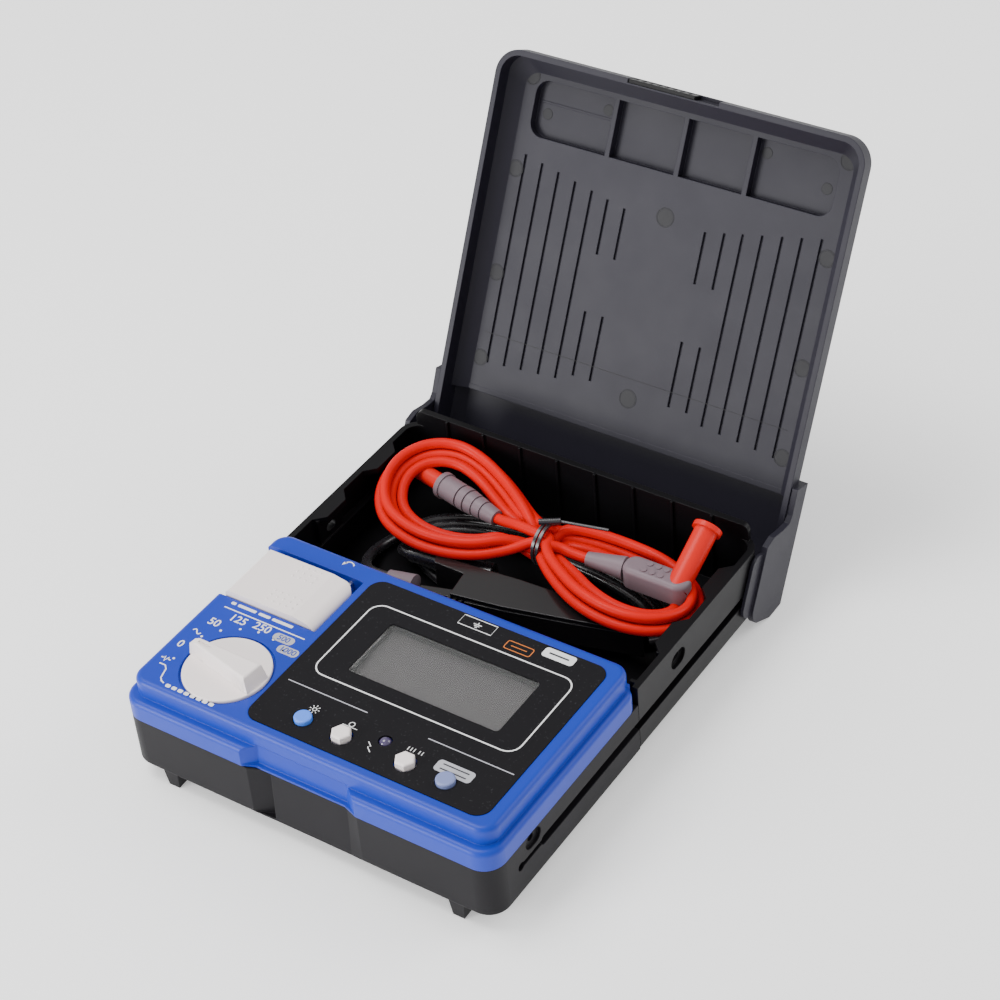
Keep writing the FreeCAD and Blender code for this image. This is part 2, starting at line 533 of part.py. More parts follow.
def accessory_tray():
    outer = box(-HALF_W, HALF_W, SEAM_Y + 0.3, HALF_D, FLOOR_Z, TRAY_RIM_Z)
    outer = round_upright(outer, CORNER_R, y_ok=lambda y: y > 50)
    outer = round_level(outer, 2.0, FLOOR_Z)
    back = box(-72.6, 72.6, HALF_D - WALL, HALF_D, FLOOR_Z + 3, BACK_WALL_Z)
    back_edges = [e for e in back.Edges if all(abs(v.Point.z - BACK_WALL_Z) < 1e-6 for v in e.Vertexes)
                  and abs(e.Vertexes[0].Point.x - e.Vertexes[-1].Point.x) < 1e-6]
    back = back.makeFillet(3.0, back_edges)
    plan = box(-HALF_W, HALF_W, 50, HALF_D, FLOOR_Z, BACK_WALL_Z + 1)
    back = back.common(round_upright(plan, CORNER_R, y_ok=lambda y: y > 60))
    inner = box(-HALF_W + WALL, HALF_W - WALL, 8.8, HALF_D - WALL, TRAY_FLOOR_Z, 60)
    inner = round_upright(inner, CORNER_R - WALL, y_ok=lambda y: y > 50)
    notch = box(-TONGUE_HALF_W - 0.3, TONGUE_HALF_W + 0.3, SEAM_Y - 1, 6.8, FLOOR_Z - 1, 60)
    bezel_room = box(-TOP_HALF_W - 0.3, TOP_HALF_W + 0.3, SEAM_Y - 1, TOP_REAR_Y + 0.4, SPLIT_Z - 0.3, 60)
    open_front = box(-HALF_W + WALL, HALF_W - WALL, 5.0, 10, 18.5, 60)
    shell = cut_all(fuse_all([outer, back]), [inner, notch, open_front])
    ribs = [box(x - 0.45, x + 0.45, HALF_D - WALL - 1.0, HALF_D - 1, FLOOR_Z + 1, BACK_WALL_Z) for x in RIB_X]
    groove_back = both_sides(box(HALF_W - 5.2, HALF_W - 1, SEAM_Y, 82, GROOVE_Z - 5, GROOVE_Z + 5))
    strap_back = both_sides(box(HALF_W - 4.5, HALF_W - 1, 21, 35, GROOVE_Z + 4, TRAY_RIM_Z - 1))
    tabs = both_sides(tab(18.7, 24.3, 35.8, 41.9)) + both_sides(tab(50.8, 56.7, 68.0, 73.7))
    feet = [rear_foot(x) for x in (-60, 60)]
    shell = fuse_all([shell] + ribs + groove_back + strap_back + tabs + feet)
    cuts = both_sides(groove(SEAM_Y - 6, PIVOT_Y + GROOVE_HALF, GROOVE_HALF, 3.0))
    cuts += both_sides(oval_x(23.5, 32.8, 25.0, 31.7, HALF_W - 1.6, HALF_W + 1))
    cuts += both_sides(oval_x(25.4, 30.9, 26.6, 30.1, HALF_W - 8, HALF_W))
    cuts += [notch, bezel_room, soft_box(-50, 50, 14, 84, FLOOR_Z - 1, FLOOR_Z + 2.2, 3)]
    cuts += [cyl(1.9, 6, (x, 5.5, TRAY_SCREW_Z), Y_AXIS) for x in TRAY_SCREWS]
    cuts += [cyl(6.3, 6, (x, 5.5, SOCKET_Z), Y_AXIS) for x in SOCKET_X]
    return cut_all(shell, cuts)


def tray_screws():
    return group([screw(x, 10.6, TRAY_SCREW_Z, 9.0, 1.55, 2.8, V(0, -1, 0)) for x in TRAY_SCREWS])


# ---- lid, drawn closed and then turned open ----
CELL_WALLS = [-29.1, 0.6, 29.1]
GROOVE_X = [17.3, 25.0, 32.3, 40.0, 47.8, 55.4, 63.1]
POCKET = (-63.9, 63.9, -78.5, -56.9)


def opened(shape):
    return shape.rotated(V(0, PIVOT_Y, PIVOT_Z), X_AXIS, -LID_OPEN)


def stand_block(height):
    """Everything below this height in the open pose, turned back to the closed pose."""
    block = box(-100, 100, 0, 200, -60, height)
    return block.rotated(V(0, PIVOT_Y, PIVOT_Z), X_AXIS, LID_OPEN)


def lid_main():
    """The flat front shell with sloped inner edges."""
    skirt = soft_box(-HALF_W, HALF_W, -HALF_D, 60, LID_RIM_Z, 42.5, 10.0)
    crown = loft((-HALF_W, HALF_W, -HALF_D, 60, 42.5, 10.0), (-70.6, 70.6, -82.1, 55, LID_TOP_Z, 8.0))
    inside = soft_box(-74.8, 74.8, -86.3, 60, 30, 43.0, 7.8)
    slope = loft((-74.8, 74.8, -86.3, 60, 43.0, 7.8), (-69.0, 69.0, -80.5, 56, 47.0, 6.0))
    rear = box(-90, 90, HOOD_Y + 2.0, 99, 20, 60)
    return cut_all(fuse_all([skirt, crown]), [inside, slope, rear])


def lid_hood():
    """The deeper rear part, which leaves room for the leads. Its slanted rear meets the table when open."""
    skirt = soft_box(-HALF_W, HALF_W, HOOD_Y - 10, HALF_D, LID_RIM_Z, 46.0, 6.0)
    crown = loft((-HALF_W, HALF_W, HOOD_Y - 10, HALF_D, 46.0, 6.0),
                 (-71.0, 71.0, HOOD_Y - 4, 83.0, HOOD_TOP_Z, 5.0))
    front = box(-90, 90, HOOD_Y - 20, HOOD_Y, 20, 60)
    inside = soft_box(-74.8, 74.8, HOOD_Y - 14, 86.2, 30, 46.5, 5.0)
    slope = loft((-74.8, 74.8, HOOD_Y - 14, 86.2, 46.5, 5.0), (-70.5, 70.5, HOOD_Y - 12, 82.0, 50.6, 4.0))
    step = box(-90, 90, HOOD_Y - 1, HOOD_Y + 2.0, 46.9, 60)
    hollow = cut_all(fuse_all([inside, slope]), [step, stand_block(STAND_Z + 2.4)])
    rear_gap = box(-74.8, 74.8, 80, 99, 20, 46.5)
    return cut_all(fuse_all([skirt, crown]), [front, hollow, rear_gap, stand_block(STAND_Z)])


def lid_arm():
    """The right-hand arm: a thick plate outside the tray wall, with the hinge pin inside it."""
    points = [(88.5, 45.0), (88.5, 21.5), (58.4, 21.5), (55.2, 25.4), (53.6, 32.0), (51.8, 36.4), (49.0, 37.3),
              (39.0, 37.0), (37.5, 45.0)]
    plate = plate_yz(points, ARM_IN_X, ARM_OUT_X)
    corner = [e for e in plate.Edges if abs(e.Vertexes[0].Point.y - 88.5) < 1e-6
              and abs(e.Vertexes[-1].Point.y - 88.5) < 1e-6 and e.Vertexes[0].Point.z < 30
              and abs(e.Vertexes[0].Point.x - e.Vertexes[-1].Point.x) > 1]
    plate = plate.makeFillet(6.0, corner)
    root = plate_yz([(88.5, 45.0), (88.5, 41.0), (62, 41.0), (52, 37.6), (39.0, 37.6), (37.5, 45.0)], 75.2, ARM_OUT_X)
    flange = box(ARM_IN_X, 78.45, 61.0, 85.5, 15.0, 23.0)
    flange_edges = [e for e in flange.Edges if abs(e.Vertexes[0].Point.x - e.Vertexes[-1].Point.x) > 1
                    and e.Vertexes[0].Point.z < 16]
    flange = flange.makeFillet(4.5, flange_edges)
    pin = cyl(PIN_R, 78.0 - 74.4, (74.4, PIVOT_Y, PIVOT_Z), X_AXIS)
    return fuse_all([plate, root, flange, pin]).cut(stand_block(STAND_Z))


def lid_grooves():
    """Shallow slots in the lid's inner face. The two nearest the middle are split."""
    tools = []
    for x in GROOVE_X:
        reach = (x - 17.3) / (63.1 - 17.3)
        front = 88.5 - (128.4 + 9.4 * reach)
        rear = 88.5 - (59.1 - 3.9 * reach) if x > 30 else 88.5 - 108.7
        for side in (-1, 1):
            tools.append(box(side * x - 0.5, side * x + 0.5, front, rear, 46, 47.9))
            if x < 30:
                tools.append(box(side * x - 0.5, side * x + 0.5, 88.5 - 86.4, 88.5 - 61, 46, 47.9))
    return tools


def lid_shell():
    pad = soft_box(POCKET[0] - 2.2, POCKET[1] + 2.2, POCKET[2] - 2.2, POCKET[3] + 2.2, 47.5, 52.6, 6.5)
    pad = round_level(pad, 1.5, 52.6)
    shell = fuse_all([lid_main(), lid_hood(), pad])
    pocket = soft_box(*POCKET, 46, 50.6, 5.5)
    pocket = cut_all(pocket, [box(x - 1.0, x + 1.0, -90, 0, 40, 60) for x in CELL_WALLS])
    clearance = cyl(21.2, 200, (-100, PIVOT_Y, PIVOT_Z), X_AXIS)
    latch_slot = box(-21.0, 17.1, -HALF_D - 1, -86.9, LID_RIM_Z - 1, 41.5)
    shell = cut_all(shell, [pocket, clearance, latch_slot] + lid_grooves())
    rib = box(-63.9, -29.5, 88.5 - 158.9, 88.5 - 158.1, 50.45, 51.0)
    shell = fuse_all([shell, rib] + both_sides(lid_arm()))
    return opened(shell)


def lid_latch():
    """A ridged slider in the rim of the lid's front wall."""
    body = box(-20.6, 7.0, -88.4, -87.05, LID_RIM_Z + 0.1, 41.3)
    ridges = [box(-19.0 + 3.2 * i, -18.0 + 3.2 * i, -89, -88.0, 37.4, 40.5) for i in range(8)]
    return opened(cut_all(body, ridges))


# ---- leads ----
TIE = (5.5, 56.0, 31.0)
CLIP_AT = (-27.0, 24.0, 22.0)
CLIP_TURN = 8.0
CLIP_HINGE = 30.0
CLIP_HALF_H = 6.0
CLIP_TOP = 4.0            # top of the moving half, under the cover


def ring(cx, cy, a, b, thick, z0, z1, turn):
    """A level oval ring of square section: the outer form of a bundle of turns."""
    def oval(ra, rb):
        wire = Part.Wire(Part.Ellipse(V(0, 0, z0), ra, rb).toShape())
        face = Part.Face(wire).extrude(V(0, 0, z1 - z0))
        face.rotate(V(0, 0, 0), Z_AXIS, turn)
        return face.translated(V(cx, cy, 0))
    return oval(a, b).cut(oval(a - thick, b - thick))


def red_lead_hank():
    left = ring(-31.5, 58.5, 37.5, 24.5, 11.0, 25.0, 38.0, 6.0)
    right = ring(36.5, 47.0, 32.0, 17.0, 8.0, 28.2, 38.4, -6.0)
    gap = box(TIE[0] - 5.5, TIE[0] + 6, 20, 90, 20, 45)
    neck = cyl(7.3, 24, (TIE[0] - 12, TIE[1] - 1, TIE[2]), X_AXIS)
    pieces = [rod(RELIEF[0], RELIEF[1], 5.2), soft_box(38.5, 66.0, 50.4, 61.1, 24, 42, 3),
              rod(along(SHROUD, -0.2), SHROUD[1], 5.8), rod(BARREL[0], BARREL[1], 3.7),
              rod(TAPER[0], TAPER[1], 5.5)]
    return cut_all(fuse_all([cut_all(group([left, right]), [gap]), neck]), pieces)


def twist_tie():
    """Two turns of thin wire round the hank, twisted on top, with one end left long."""
    turns = [cyl(8.4, 1.1, (TIE[0] + x, TIE[1] - 1, TIE[2]), X_AXIS) for x in (-1.2, 0.6)]
    turns = [turn.cut(cyl(7.4, 4, (TIE[0] - 2, TIE[1] - 1, TIE[2]), X_AXIS)) for turn in turns]
    twist = rod((TIE[0] - 2.6, TIE[1] - 0.6, TIE[2] + 8.9), (TIE[0] + 4.4, TIE[1] + 3.4, TIE[2] + 9.1), 1.2)
    tail = rod((TIE[0] + 4.0, TIE[1] + 3.2, TIE[2] + 9.0), (28.5, 62.5, 41.0), 0.6)
    return fuse_all(turns + [twist, tail])


RELIEF = ((24.5, 53.5, 32.6), (39.2, 55.6, 32.6))
SHROUD = ((61.0, 56.4, 33.6), (60.8, 78.0, 44.0))


def along(points, share):
    """A point part of the way from the first to the second."""
    start, end = V(*points[0]), V(*points[1])
    return tuple(start + (end - start) * share)


def red_plug_body():
    """The angled plug: a strain relief, and a slim grip with two rows of oval bumps."""
    relief = rod(RELIEF[0], RELIEF[1], 2.7, 4.4)
    body = round_level(soft_box(39.0, 65.6, 50.9, 60.6, 28.2, 36.8, 4.4), 2.0, 36.8)
    bumps = []
    for row, y in enumerate((53.9, 57.6)):
        bumps += [cyl(1.15, 0.8, (48.0 + 3.4 * i + 0.6 * row, y, 36.4)) for i in range(3)]
    body = fuse_all([relief, body] + bumps)
    return cut_all(body, [rod(along(SHROUD, -0.12), along(SHROUD, 1.0), 4.4)])


def red_plug_shroud():
    tube = rod(along(SHROUD, -0.1), along(SHROUD, 0.95), 4.35)
    flange = rod(along(SHROUD, 0.92), along(SHROUD, 1.0), 5.5)
    return fuse_all([tube, flange]).cut(rod(along(SHROUD, -0.05), along(SHROUD, 1.1), 3.1))


def red_plug_pin():
    return rod(along(SHROUD, -0.05), along(SHROUD, 0.86), 1.9)


BARREL = ((-60.0, 68.2, 31.0), (-47.0, 65.2, 31.0))
TAPER = ((-46.8, 65.15, 31.0), (-18.0, 58.4, 31.0))


def red_connector():
    """A tapered grip with a collar at its wide end and grip rings at its narrow end."""
    collar = rod(TAPER[0], along(TAPER, 0.07), 5.2)
    body = rod(along(TAPER, 0.07), along(TAPER, 0.5), 4.7)
    tail = rod(along(TAPER, 0.5), TAPER[1], 4.6, 3.0)
    body = fuse_all([collar, body])
    cuts = [rod(along(TAPER, 0.14 * i + 0.36), along(TAPER, 0.14 * i + 0.385), 6).cut(
        rod(along(TAPER, -0.1), along(TAPER, 1.1), 4.1 - 0.45 * max(0, i - 1))) for i in range(4)]
    return cut_all(fuse_all([body, tail]), cuts)


def red_connector_barrel():
    return rod(BARREL[0], BARREL[1], 3.4)


def black_lead_coil():
    return ring(4.0, 53.0, 62.0, 28.0, 17.0, TRAY_FLOOR_Z + 0.1, TRAY_FLOOR_Z + 4.3, 4.0)


SLEEVE = ((-30.0, 38.0, 20.5), (-9.0, 41.0, 20.5))


def black_plug_body():
    """The black lead's plug: a grey collar and a dark sleeve over its pin."""
    sleeve = rod(SLEEVE[0], SLEEVE[1], 4.3)
    collar = rod(along(SLEEVE, -0.6), SLEEVE[0], 2.9, 4.1)
    return fuse_all([sleeve, collar]).cut(rod(along(SLEEVE, 0.1), along(SLEEVE, 1.1), 2.9))


def black_plug_pin():
    return rod(along(SLEEVE, 0.1), along(SLEEVE, 0.95), 1.9)


def clip_place(shape):
    turned = shape.rotated(V(0, 0, 0), Z_AXIS, CLIP_TURN)
    return turned.translated(V(*CLIP_AT))


def clip_half(side, top):
    """One half of the clip, drawn along X from its handle to its nose."""
    arm = [(0, 9.4), (1.0, 5.6), (24, 2.0), (34, 0.15), (86, 0.15), (87, 2.2), (60, 5.4), (34, 7.8), (24, 8.2)]
    return outline([(x, side * y) for x, y in arm], -CLIP_HALF_H).extrude(V(0, 0, CLIP_HALF_H + top))


def clip_knuckles(side, bands):
    knuckles = []
    for low, high in bands:
        knuckles.append(cyl(3.6, high - low, (CLIP_HINGE, 0, low)))
        web = outline([(CLIP_HINGE - 2.4, side * 1.2), (CLIP_HINGE + 2.4, side * 1.2),
                       (CLIP_HINGE + 3.2, side * 6.4), (CLIP_HINGE - 3.2, side * 6.4)], low)
        knuckles.append(web.extrude(V(0, 0, high - low)))
    return knuckles


def clip_front_jaw():
    """The moving half, with grip ridges on its handle and two knuckles on the pin."""
    half = clip_half(-1, CLIP_TOP).cut(cyl(4.4, 40, (CLIP_HINGE, 0, -20)))
    half = fuse_all([half] + clip_knuckles(-1, [(-CLIP_HALF_H, -2.4), (2.4, CLIP_TOP)]))
    combs = [box(2.0 + 2.4 * i, 3.0 + 2.4 * i, -12, -7.6, -4.6, CLIP_TOP + 1) for i in range(8)]
    return clip_place(cut_all(half, combs + [cyl(1.55, 40, (CLIP_HINGE, 0, -20))]))


def clip_rear_jaw():
    """The fixed half, whose flat cover reaches over the pin and the moving half."""
    half = clip_half(1, CLIP_HALF_H).cut(cyl(4.4, CLIP_HALF_H + CLIP_TOP + 0.2, (CLIP_HINGE, 0, -CLIP_HALF_H)))
    cover = outline([(14, -8.0), (34, -7.7), (60, -5.3), (87, -2.4), (87, 2.4), (60, 5.3), (34, 7.7), (14, 8.0)],
                    CLIP_TOP + 0.2)
    cover = cover.extrude(V(0, 0, CLIP_HALF_H - CLIP_TOP - 0.2))
    half = fuse_all([half, cover] + clip_knuckles(1, [(-1.1, 1.1)]))
    return clip_place(half.cut(cyl(1.55, CLIP_HALF_H + CLIP_TOP + 0.2, (CLIP_HINGE, 0, -CLIP_HALF_H))))


def clip_pin():
    return clip_place(cyl(1.5, CLIP_HALF_H + CLIP_TOP, (CLIP_HINGE, 0, -CLIP_HALF_H)))


def clip_spring():
    """The torsion spring's two stacks of turns round the pin, as their outer form."""
    turns = [cyl(2.6, 1.1, (CLIP_HINGE, 0, z)) for z in (-2.3, 1.2)]
    bore = cyl(1.6, 40, (CLIP_HINGE, 0, -20))
    return clip_place(group([turn.cut(bore) for turn in turns]))


def clip_collar():
    """The grey sleeve where the black lead enters the clip."""
    return rod((-41.0, 20.0, 22.0), (-30.0, 20.8, 22.0), 2.9, 4.2)


NODES = {
    "lower_case": lower_case,
    "top_bezel": top_bezel,
    "front_panel": front_panel,
    "lcd_window": lcd_window,
    "lcd_module": lcd_module,
    "lcd_frame": lcd_frame,
    "backlight": backlight,
    "keypad_mat": keypad_mat,
    "warning_led": warning_led,
    "knob_shaft": knob_shaft,
    "selector_knob": selector_knob,
    "rotary_switch": rotary_switch,
    "measure_key": measure_key,
    "key_pivot_pin": key_pivot_pin,
    "key_spring": key_spring,
    "key_switch": key_switch,
    "main_board": main_board,
    "case_screws": case_screws,
    "board_screws": board_screws,
    "hv_transformer": hv_transformer,
    "buzzer": buzzer,
    "fuse": fuse,
    "fuse_clips": fuse_clips,
    "batteries": batteries,
    "battery_contacts": battery_contacts,
    "battery_cover": battery_cover,
    "cover_screw": cover_screw,
    "socket_block": socket_block,
    "earth_socket": lambda: banana_socket(SOCKET_X[0]),
    "line_socket": lambda: banana_socket(SOCKET_X[1]),
    "accessory_tray": accessory_tray,
    "tray_screws": tray_screws,
    "lid_shell": lid_shell,
    "lid_latch": lid_latch,
    "red_lead_hank": red_lead_hank,
    "twist_tie": twist_tie,
    "red_plug_body": red_plug_body,
    "red_plug_shroud": red_plug_shroud,
    "red_plug_pin": red_plug_pin,
    "red_connector": red_connector,
    "red_connector_barrel": red_connector_barrel,
    "black_lead_coil": black_lead_coil,
    "black_plug_body": black_plug_body,
    "black_plug_pin": black_plug_pin,
    "clip_collar": clip_collar,
    "clip_front_jaw": clip_front_jaw,
    "clip_rear_jaw": clip_rear_jaw,
    "clip_pin": clip_pin,
    "clip_spring": clip_spring,
}


def write(node, shape):
    shape.translated(V(0, -OPEN_CENTRE_Y, 0)).exportStep("parts/%s.step" % node)


os.makedirs("parts", exist_ok=True)
for button in BUTTONS:
    write(button, push_button(button))
for node, make in NODES.items():
    write(node, make())
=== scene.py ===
import math

import bmesh
import bpy
from mathutils import Matrix, Vector


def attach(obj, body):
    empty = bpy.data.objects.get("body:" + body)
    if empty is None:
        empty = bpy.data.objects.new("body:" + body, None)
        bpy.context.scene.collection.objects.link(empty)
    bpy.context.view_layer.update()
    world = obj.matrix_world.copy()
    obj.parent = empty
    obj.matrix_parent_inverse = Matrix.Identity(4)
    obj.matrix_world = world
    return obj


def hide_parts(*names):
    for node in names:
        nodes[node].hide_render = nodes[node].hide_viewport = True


# A portable insulation resistance tester. Lengths are millimetres in the part's drawing frame
# (middle of the closed footprint), and at() turns them into the row frame in metres.

MM = 0.001
OPEN_CENTRE_Y = 44.3
CABLE_D = 4.0
PLATEAU_Z = 43.5
PANEL_Z = 43.7
PRINT_LAYER = 0.05        # lift of print that lies on other print
RIM_Z = 36.5              # the lid's rim when shut
DECK_SCALE = (0.9936, 0.9935)
DECK_OFFSET = (2.8, -3.5)
LID_FACE = -10.5          # depth of the lid's inner face from its rim
LID_POCKET = -14.1        # depth of the pocket's floor from its rim
LID_LENGTH_END = 88.5     # where places along the lid are counted from
KNOB = (-49.5, -61.9)
PIVOT = (77.0, 19.0)
LID_OPEN = 116.8
TIE = (5.5, 55.0, 31.0)


def at(x, y, z):
    return Vector((x * MM, (y - OPEN_CENTRE_Y) * MM, z * MM))


def deck(x, y, z):
    """A point of the meter's top face, laid out from the deck's own middle."""
    return at(DECK_SCALE[0] * x + DECK_OFFSET[0], DECK_SCALE[1] * y + DECK_OFFSET[1], z)


def on_lid(x, s, n):
    """A point of the open lid, from its place along the closed lid and its depth below the rim."""
    angle = -math.radians(LID_OPEN)
    y = LID_LENGTH_END - s - PIVOT[0]
    z = RIM_Z - n - PIVOT[1]
    return at(x, PIVOT[0] + y * math.cos(angle) - z * math.sin(angle),
              PIVOT[1] + y * math.sin(angle) + z * math.cos(angle))


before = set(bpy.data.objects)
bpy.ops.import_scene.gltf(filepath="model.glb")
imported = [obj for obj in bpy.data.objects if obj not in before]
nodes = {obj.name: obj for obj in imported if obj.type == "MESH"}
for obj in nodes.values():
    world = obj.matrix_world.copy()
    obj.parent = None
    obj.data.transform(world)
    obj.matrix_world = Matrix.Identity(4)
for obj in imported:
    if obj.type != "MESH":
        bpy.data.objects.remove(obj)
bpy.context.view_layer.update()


# ---- materials ----
class Paint:
    """A small builder round one Principled material's node tree."""

    def __init__(self, name):
        self.material = bpy.data.materials.new(name)
        self.material.use_nodes = True
        self.tree = self.material.node_tree
        self.shader = self.tree.nodes["Principled BSDF"]
        self.coords = self.add("ShaderNodeTexCoord").outputs["Object"]

    def add(self, kind, **inputs):
        node = self.tree.nodes.new(kind)
        for key, value in inputs.items():
            self.feed(node.inputs[key.replace("_", " ")], value)
        return node

    def feed(self, socket, value):
        if isinstance(value, bpy.types.NodeSocket):
            self.tree.links.new(value, socket)
        else:
            socket.default_value = value

    def noise(self, scale, detail=3.0, rough=0.5):
        return self.add("ShaderNodeTexNoise", Vector=self.coords, Scale=scale, Detail=detail,
                        Roughness=rough).outputs["Fac"]

    def span(self, value, low, high, out_low, out_high):
        node = self.add("ShaderNodeMapRange", Value=value)
        for key, number in (("From Min", low), ("From Max", high), ("To Min", out_low), ("To Max", out_high)):
            node.inputs[key].default_value = number
        return node.outputs["Result"]

    def blend(self, factor, first, second):
        node = self.tree.nodes.new("ShaderNodeMix")
        node.data_type = "RGBA"
        self.feed(node.inputs[0], factor)
        self.feed(node.inputs[6], first)
        self.feed(node.inputs[7], second)
        return node.outputs[2]

    def edges(self, radius_mm):
        """Where a softened normal leaves the true one: 0 on flats, 1 on sharp edges."""
        soft = self.add("ShaderNodeBevel", Radius=radius_mm * MM)
        soft.samples = 4
        hard = self.add("ShaderNodeNewGeometry")
        dot = self.tree.nodes.new("ShaderNodeVectorMath")
        dot.operation = "DOT_PRODUCT"
        self.tree.links.new(soft.outputs["Normal"], dot.inputs[0])
        self.tree.links.new(hard.outputs["Normal"], dot.inputs[1])
        return soft.outputs["Normal"], self.span(dot.outputs["Value"], 0.99, 0.8, 0.0, 1.0)

    def bump(self, height, depth_mm, normal=None, strength=1.0):
        node = self.add("ShaderNodeBump", Height=height, Distance=depth_mm * MM, Strength=strength)
        if normal is not None:
            self.tree.links.new(normal, node.inputs["Normal"])
        return node.outputs["Normal"]

    def set(self, **inputs):
        for key, value in inputs.items():
            self.feed(self.shader.inputs[key.replace("_", " ")], value)
        return self.material


def shade(color, factor):
    return tuple(min(1.0, c * factor) for c in color[:3]) + (1.0,)


def plastic(name, color, rough, grain=2200.0, grain_mm=0.03, edge_mm=0.35, wear=1.35, cloud=0.08,
            gloss=0.5):
    """Moulded plastic: spark-eroded grain, faint flow clouds and slightly polished edges."""
    paint = Paint(name)
    softened, edge = paint.edges(edge_mm)
    clouds = paint.span(paint.noise(28.0, 4.0), 0.3, 0.7, 0.0, 1.0)
    base = paint.blend(clouds, shade(color, 1 - cloud), shade(color, 1 + cloud))
    scuffs = paint.span(paint.noise(260.0, 6.0, 0.7), 0.62, 0.8, 0.0, 0.12)
    base = paint.blend(scuffs, base, shade(color, wear))
    worn = paint.blend(paint.span(edge, 0.0, 1.0, 0.0, 0.55), base, shade(color, wear))
    rough_map = paint.span(paint.noise(60.0, 5.0, 0.6), 0.3, 0.7, rough - 0.02, rough + 0.02)
    grained = paint.bump(paint.noise(grain, 2.0), grain_mm, softened, 0.7)
    return paint.set(Base_Color=worn, Roughness=rough_map, Normal=grained, Specular_IOR_Level=gloss)


def rubber(name, color, rough, sheen=0.15, gloss=0.5):
    """Soft cable and boot rubber: waxy bloom, fine dust and faint handling marks."""
    paint = Paint(name)
    bloom = paint.span(paint.noise(90.0, 5.0, 0.65), 0.35, 0.75, 0.0, 0.35)
    base = paint.blend(bloom, color + (1.0,), shade(color, 1.15))
    rough_map = paint.span(paint.noise(200.0, 4.0), 0.3, 0.7, rough - 0.06, rough + 0.08)
    grained = paint.bump(paint.noise(900.0, 3.0), 0.03, None, 0.5)
    return paint.set(Base_Color=base, Roughness=rough_map, Normal=grained, Sheen_Weight=sheen,
                     Specular_IOR_Level=gloss, Subsurface_Weight=0.04,
                     Subsurface_Radius=(0.002, 0.001, 0.001))


def metal(name, color, rough, brushed=1400.0):
    """Plated metal with fine drawing lines and dull spots."""
    paint = Paint(name)
    softened, edge = paint.edges(0.15)
    spots = paint.span(paint.noise(500.0, 5.0), 0.4, 0.75, 0.0, 0.4)
    base = paint.blend(spots, color + (1.0,), shade(color, 0.75))
    rough_map = paint.span(paint.noise(brushed, 3.0), 0.3, 0.7, rough - 0.08, rough + 0.1)
    return paint.set(Base_Color=base, Metallic=1.0, Roughness=rough_map,
                     Normal=paint.bump(paint.noise(brushed, 2.0), 0.01, softened, 0.5))


def print_ink(name, color, rough=0.5):
    """Screen-printed ink: slightly uneven cover with a grainy edge."""
    paint = Paint(name)
    cover = paint.span(paint.noise(1500.0, 4.0, 0.7), 0.25, 0.6, 0.75, 1.0)
    base = paint.blend(cover, shade(color, 0.8), color + (1.0,))
    return paint.set(Base_Color=base, Roughness=paint.span(cover, 0.75, 1.0, rough + 0.1, rough),
                     Normal=paint.bump(cover, 0.01))


def panel_film():
    """Black display film with a fine matt tooth, fingerprints and dust."""
    paint = Paint("panel_film")
    smudge = paint.span(paint.noise(45.0, 6.0, 0.7), 0.45, 0.75, 0.0, 1.0)
    dust = paint.span(paint.noise(1200.0, 2.0), 0.66, 0.74, 0.0, 0.25)
    base = paint.blend(dust, (0.009, 0.0085, 0.01, 1.0), (0.09, 0.09, 0.1, 1.0))
    rough_map = paint.span(smudge, 0.0, 1.0, 0.3, 0.42)
    return paint.set(Base_Color=base, Roughness=rough_map, Specular_IOR_Level=0.1,
                     Normal=paint.bump(paint.noise(2600.0, 2.0), 0.008, None, 0.5))


def window_clear():
    """Clear display window with a slight haze."""
    paint = Paint("window_clear")
    haze = paint.span(paint.noise(70.0, 5.0, 0.7), 0.4, 0.7, 0.06, 0.2)
    return paint.set(Base_Color=(0.9, 0.91, 0.9, 1.0), Roughness=haze, Transmission_Weight=0.96, IOR=1.12,
                     Normal=paint.bump(paint.noise(120.0, 2.0), 0.0008))


def display_glass():
    """The unlit display: warm grey with a faint cell pattern."""
    paint = Paint("display_glass")
    cells = paint.add("ShaderNodeTexBrick", Vector=paint.coords, Scale=900.0, Mortar_Size=0.04)
    cells.inputs["Color1"].default_value = (0.066, 0.055, 0.06, 1.0)
    cells.inputs["Color2"].default_value = (0.06, 0.05, 0.055, 1.0)
    cells.inputs["Mortar"].default_value = (0.05, 0.042, 0.045, 1.0)
    tint = paint.blend(paint.span(paint.noise(30.0), 0.3, 0.7, 0.0, 0.5), cells.outputs["Color"],
                       (0.077, 0.066, 0.07, 1.0))
    return paint.set(Base_Color=tint, Roughness=paint.span(paint.noise(300.0), 0.3, 0.7, 0.28, 0.38),
                     Normal=paint.bump(paint.noise(1500.0), 0.004))


def led_lens():
    """A dark violet lamp lens with swirl in the resin."""
    paint = Paint("led_lens")
    swirl = paint.blend(paint.noise(700.0, 4.0), (0.04, 0.03, 0.09, 1.0), (0.12, 0.09, 0.2, 1.0))
    return paint.set(Base_Color=swirl, Roughness=paint.span(paint.noise(900.0), 0.3, 0.7, 0.1, 0.2),
                     Transmission_Weight=0.25, Coat_Weight=0.6, Normal=paint.bump(paint.noise(900.0), 0.01))


def board_green():
    """Solder mask with copper traces showing through."""
    paint = Paint("board_green")
    bricks = paint.add("ShaderNodeTexBrick", Vector=paint.coords, Scale=160.0, Mortar_Size=0.03)
    traces = bricks.outputs["Fac"]
    base = paint.blend(traces, (0.01, 0.12, 0.05, 1.0), (0.03, 0.2, 0.08, 1.0))
    return paint.set(Base_Color=base, Roughness=paint.span(paint.noise(400.0), 0.3, 0.7, 0.3, 0.42),
                     Normal=paint.bump(traces, 0.03))


